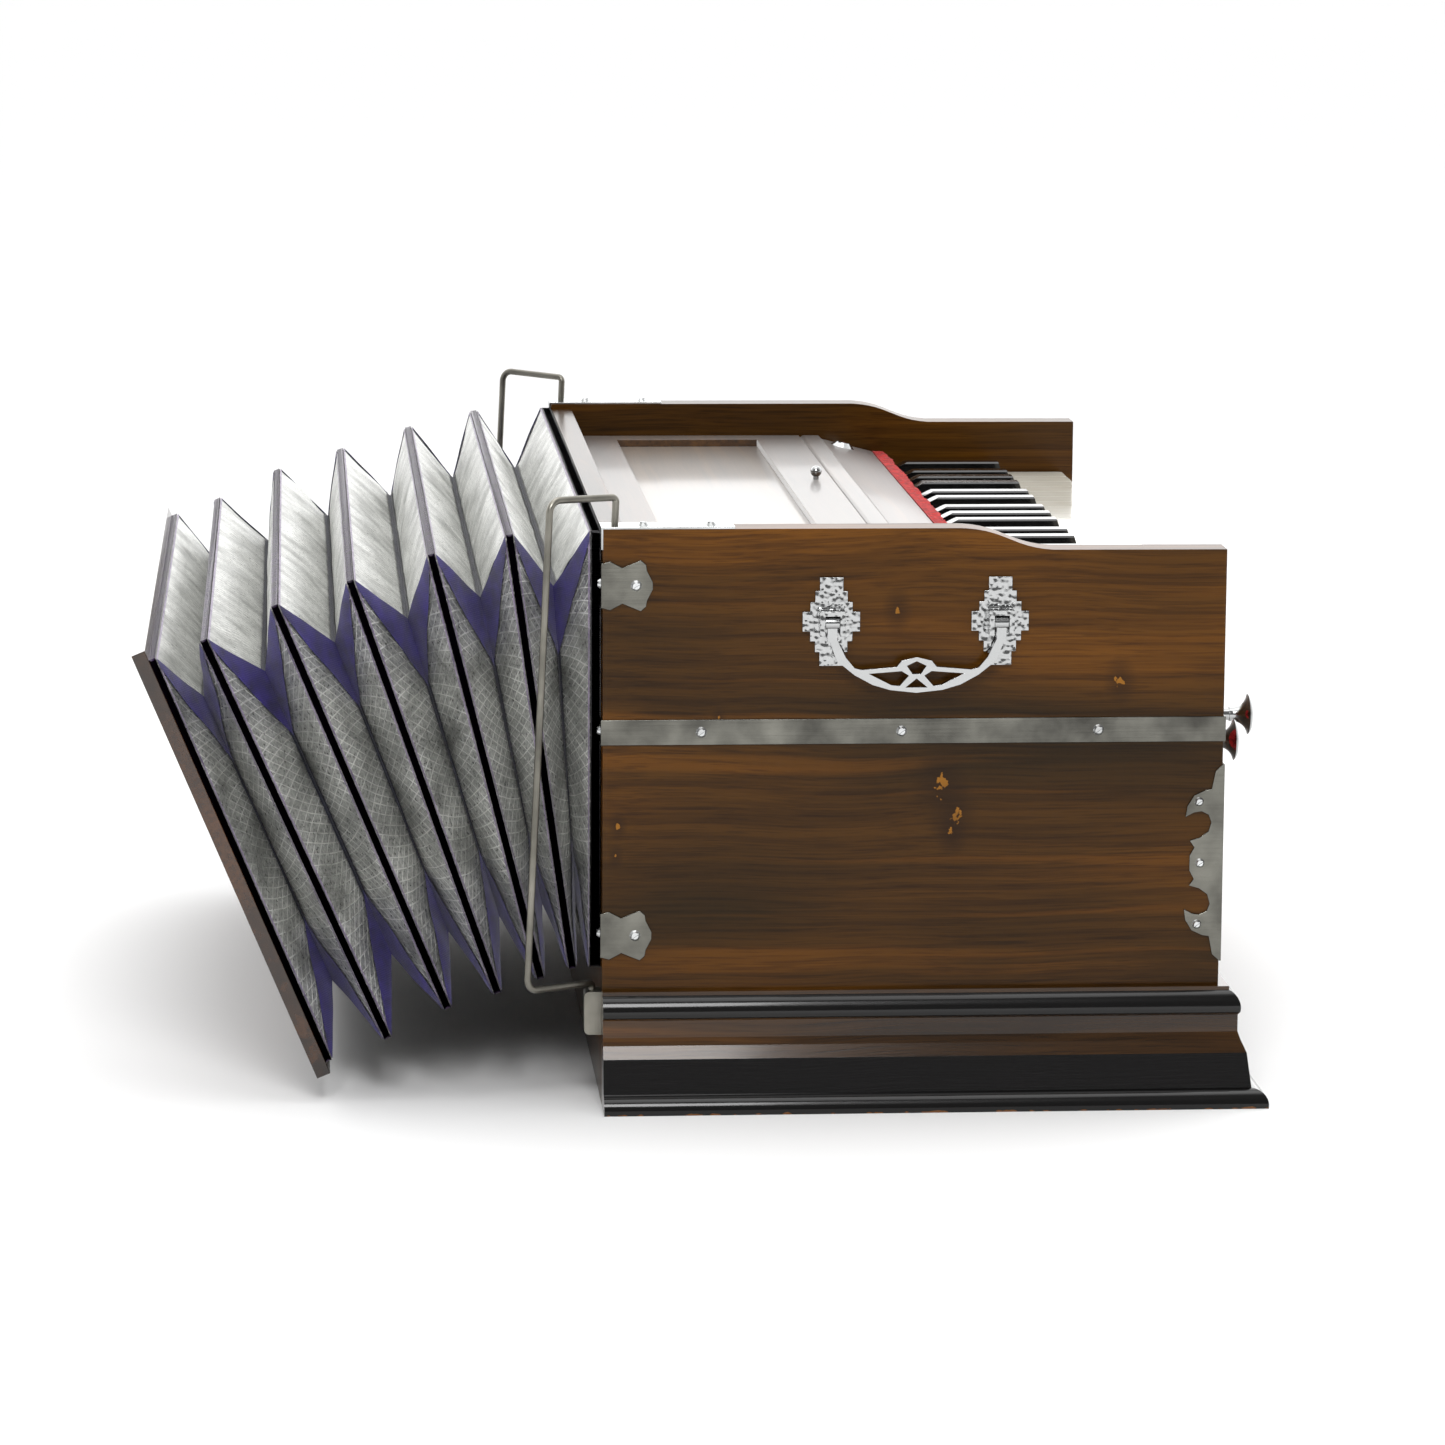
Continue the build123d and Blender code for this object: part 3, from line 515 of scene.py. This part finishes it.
def bookcloth(name, low, high, sheen=0.25, gloss=0.6):
    """Woven binding cloth: 0.5 mm threads both ways, drawn coarse enough to show."""
    material, bsdf = finish_named(name, Roughness=gloss, Sheen_Weight=sheen, Sheen_Roughness=0.4)
    place = object_place(material)
    weave = None
    for direction in ("X", "Z"):
        inputs = {"Vector": place, "Scale": 330.0, "Distortion": 1.0}
        threads = add(material, "ShaderNodeTexWave", inputs, bands_direction=direction).outputs["Fac"]
        weave = threads if weave is None else maths(material, "MULTIPLY", weave, threads)
    worn = clouds(material, place, 120.0, 4.0)
    link(material, ramp(material, worn, [(0.3, low), (0.72, high)]), bsdf.inputs["Base Color"])
    bumped(material, bsdf, weave, 0.0002, 0.6)
    return material


silver_card = foil_card("embossed_foil_card")
violet_cloth = bookcloth("violet_gusset_cloth", "#180f40", "#2a1a70")
# A near-black strip of painted shade along each valley, where the crease is shaded.
valley_shade_strip = bookcloth("dark_valley_strip_painted_shade", "#0d0e1c", "#1b1d33", 0.15, 0.5)
plum_tape = bookcloth("plum_ridge_tape", "#16061c", "#3a1450", 0.2, 0.35)
rim_tape = bookcloth("pale_worn_tape_edge", "#58466a", "#a294ab", 0.3, 0.5)


def fold_corners(number):
    """Corner points of one fold's first ridge, valley and second ridge, bottom and top, at +X."""
    points = {tuple(round(c, 6) for c in v.co) for v in nodes[f"bellows_fold_{number}"].data.vertices}
    widest = max(p[0] for p in points)
    ridge = sorted((p for p in points if abs(p[0] - widest) < 1e-5), key=lambda p: p[2])
    bottom = sorted(ridge[:2], key=lambda p: p[1])
    top = sorted(ridge[2:], key=lambda p: p[1])
    inner = sorted({p[0] for p in points if p[0] > 0})
    valley = sorted((p for p in points if abs(p[0] - inner[1]) < 1e-5), key=lambda p: p[2])
    first = [Vector(bottom[0]), Vector(top[0])]
    second = [Vector(bottom[1]), Vector(top[1])]
    return first, [Vector(valley[0]), Vector(valley[1])], second


def loop_of(pair):
    """Four corners of a rectangle from its bottom and top points at +X."""
    low, high = pair
    flip = Vector((-1, 1, 1))
    return [low * flip, low, high, high * flip]


def wrinkle(place, s, t, seed):
    """How far the card bows and dents out of its flat panel."""
    swell = 0.0010 * math.sin(math.pi * s) ** 0.5
    return (swell + 0.0013 * noise.noise(place * 38.0 + Vector((seed, 0, 0)))) * math.sin(math.pi * t)


def patch(bm, uv_layer, panel, corners, across, along, index, lift, seed):
    """A strip lying on a panel: its corners are shares along the ridge and down to the valley."""
    r0, r1, v1, v0 = panel
    normal = (r1 - r0).cross(v0 - r0).normalized()
    c0, c1, c2, c3 = (Vector(c) for c in corners)
    made = bmesh.ops.create_grid(bm, x_segments=along, y_segments=across, size=0.5)["verts"]
    shares = {}
    for vert in made:
        s, t = c0.lerp(c1, vert.co.x + 0.5).lerp(c3.lerp(c2, vert.co.x + 0.5), vert.co.y + 0.5)
        shares[vert] = (s * (r1 - r0).length, t * (v0 - r0).length)
        place = r0.lerp(r1, s).lerp(v0.lerp(v1, s), t)
        vert.co = place + normal * (lift + wrinkle(place, s, t, seed))
    for face in {f for vert in made for f in vert.link_faces}:
        face.material_index = index
        face.smooth = True
        for corner in face.loops:
            corner[uv_layer].uv = shares[corner.vert]


gusset_reach = 0.036
gusset_lip = 0.005
valley_shade_half = 0.0048
ridge_lap = 0.0016


def dress_panel(bm, uv_layer, ridge, valley, cuts, seed, outward, corners_cloth):
    """One panel: its card, a pale tape edge, a dark valley strip of painted shade and, on a side, two
    gussets.
    """
    r0, r1 = ridge
    v0, v1 = valley
    if ((r1 - r0).cross(v0 - r0)).dot(outward) < 0:
        r0, r1, v0, v1 = r1, r0, v1, v0
    panel = (r0, r1, v1, v0)
    depth = (v0 - r0).length
    # Where the dark valley strip of painted shade starts, as a share of the panel's depth.
    tape = 1 - valley_shade_half / depth
    lap = ridge_lap / depth
    patch(bm, uv_layer, panel, ((0, 0), (1, 0), (1, 1), (0, 1)), 12, cuts, 0, 0.0, seed)
    # The dark strip along the valley: painted shade in the crease.
    patch(bm, uv_layer, panel, ((0, tape), (1, tape), (1, 1), (0, 1)), 3, cuts, 2, 0.0005, seed)
    patch(bm, uv_layer, panel, ((0, 0), (1, 0), (1, lap), (0, lap)), 2, cuts, 3, 0.0005, seed)
    if corners_cloth:
        reach = gusset_reach / (v1 - v0).length
        lip = gusset_lip / (r1 - r0).length
        patch(bm, uv_layer, panel, ((0, 0), (lip, 0), (reach, 1), (0, 1)), 12, 8, 1, 0.0008, seed)
        patch(bm, uv_layer, panel, ((1 - lip, 0), (1, 0), (1, 1), (1 - reach, 1)), 12, 8, 1, 0.0008, seed)


rims = []
for number in range(1, 7):
    first, valley, second = fold_corners(number)
    a, v, b = loop_of(first), loop_of(valley), loop_of(second)
    centre = (first[0] + first[1] + second[0] + second[1]) / 4
    centre.x = 0.0
    bm = bmesh.new()
    uv = bm.loops.layers.uv.new("panel")
    for i in range(4):
        j = (i + 1) % 4
        middle = (v[i] + v[j]) / 2
        is_side = abs(middle.x) > 0.1
        outward = Vector((middle.x, 0, 0)) if is_side else Vector((0, 0, middle.z - centre.z))
        cuts = 30 if is_side else 70
        dress_panel(bm, uv, (a[i], a[j]), (v[i], v[j]), cuts, number * 7.0 + i, outward, is_side)
        dress_panel(bm, uv, (b[i], b[j]), (v[i], v[j]), cuts, number * 7.0 + i + 40, outward, is_side)
    pleat = placed(bm, f"bellows_pleat_{number}", silver_card, violet_cloth, valley_shade_strip, rim_tape)
    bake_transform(pleat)
    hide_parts(f"bellows_fold_{number}")
    rims.append((first, second))


def rib_piece(name, near, far, width, material, body, node):
    """A flat frame bound in tape: a rectangle inset to a ring, given thickness and rounded."""
    bm = bmesh.new()
    bm.faces.new([bm.verts.new(p) for p in loop_of(near)])
    bmesh.ops.inset_region(
        bm, faces=bm.faces[:], thickness=width, use_boundary=True, use_even_offset=True,
    )
    middle = [f for f in bm.faces if all(len(e.link_faces) == 2 for e in f.edges)]
    bmesh.ops.delete(bm, geom=middle, context="FACES")
    raised = bmesh.ops.extrude_face_region(bm, geom=bm.faces[:])
    top = [g for g in raised["geom"] if isinstance(g, bmesh.types.BMVert)]
    bmesh.ops.translate(bm, vec=(far[0] + far[1] - near[0] - near[1]) / 2, verts=top)
    bmesh.ops.recalc_face_normals(bm, faces=bm.faces)
    sharp = [e for e in bm.edges if e.calc_face_angle() > 1.0]
    bmesh.ops.bevel(
        bm, geom=sharp, offset=0.0010, segments=3, profile=0.5, affect="EDGES", material=-1,
    )
    piece = placed(bm, name, material)
    smoothed(piece.data, 40)
    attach(piece, body)
    if node:
        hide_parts(node)


def grown(pair, amount):
    """The pair of corner points moved out from the middle by an amount each way."""
    up = (pair[1] - pair[0]).normalized() * amount
    side = Vector((amount, 0, 0))
    return [pair[0] - up + side, pair[1] + up + side]


binding = 0.0006
rib_width = 0.036
end_rib_width = 0.030
end_rib_thickness = 0.0030
for number in range(1, 6):
    near = grown(rims[number - 1][1], binding)
    far = grown(rims[number][0], binding)
    rib = f"bellows_rib_{number}"
    rib_piece(rib + "_bound", near, far, rib_width, plum_tape, rib, rib)
black_cloth = bookcloth("black_frame_cloth", "#0b090d", "#191320", 0.1, 0.4)
case_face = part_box("back_board")[1].y
near = [Vector((p.x, case_face, p.z)) for p in rims[0][0]]
rib_piece("bellows_frame_bound", near, rims[0][0], rib_width, black_cloth, "root", "bellows_frame")
end_near = grown(rims[5][1], binding)
end_edge = (end_near[1] - end_near[0]).normalized()
end_normal = Vector((0.0, end_edge.z, -end_edge.y))
end_far = [p + end_normal * end_rib_thickness for p in end_near]
rib_piece("bellows_end_rib_bound", end_near, end_far, end_rib_width, plum_tape, "bellows_board", None)
board_wood = grained("stained_bellows_board", 0, "#1c1109", "#35200f", "#553214", gloss=0.2, coat=0.5)
softened("bellows_board", "bellows_board_panel", 0.0022, board_wood, 3)

# ---- Room ---------------------------------------------------------------------------------------
# A white sweep and soft light from all round, brighter beyond the treble end.
bm = bmesh.new()
bmesh.ops.create_grid(bm, x_segments=1, y_segments=1, size=30.0)
floor_finish, floor_bsdf = finish_named("matt_white_paper", Roughness=0.9)
floor_bsdf.inputs["Base Color"].default_value = (0.86, 0.86, 0.86, 1.0)
placed(bm, "floor", floor_finish)

world = bpy.data.worlds.new("soft_white_room")
bpy.context.scene.world = world
world.use_nodes = True
tree = world.node_tree
direction = tree.nodes.new("ShaderNodeTexCoord")
split = tree.nodes.new("ShaderNodeSeparateXYZ")
tree.links.new(direction.outputs["Generated"], split.inputs["Vector"])
fade = tree.nodes.new("ShaderNodeMapRange")
tree.links.new(split.outputs["X"], fade.inputs["Value"])
for socket, value in (("From Min", -0.5), ("From Max", 0.7), ("To Min", 0.22), ("To Max", 2.2)):
    fade.inputs[socket].default_value = value
background = tree.nodes["Background"]
tree.links.new(fade.outputs["Result"], background.inputs["Strength"])
background.inputs["Color"].default_value = (1.0, 1.0, 1.0, 1.0)


def softbox(name, place, target, size, power):
    """A square area light aimed at a point."""
    data = bpy.data.lights.new(name, "AREA")
    data.size = size
    data.energy = power
    lamp = bpy.data.objects.new(name, data)
    lamp.location = place
    lamp.rotation_euler = (Vector(target) - Vector(place)).to_track_quat("-Z", "Y").to_euler()
    bpy.context.scene.collection.objects.link(lamp)


softbox("overhead", (-0.3, 0.2, 2.4), (0, 0.1, 0), 1.8, 18)
softbox("bass_side", (-2.1, 0.3, 1.8), (0, 0.1, 0.1), 0.9, 34)
bpy.context.scene.view_settings.view_transform = "Standard"
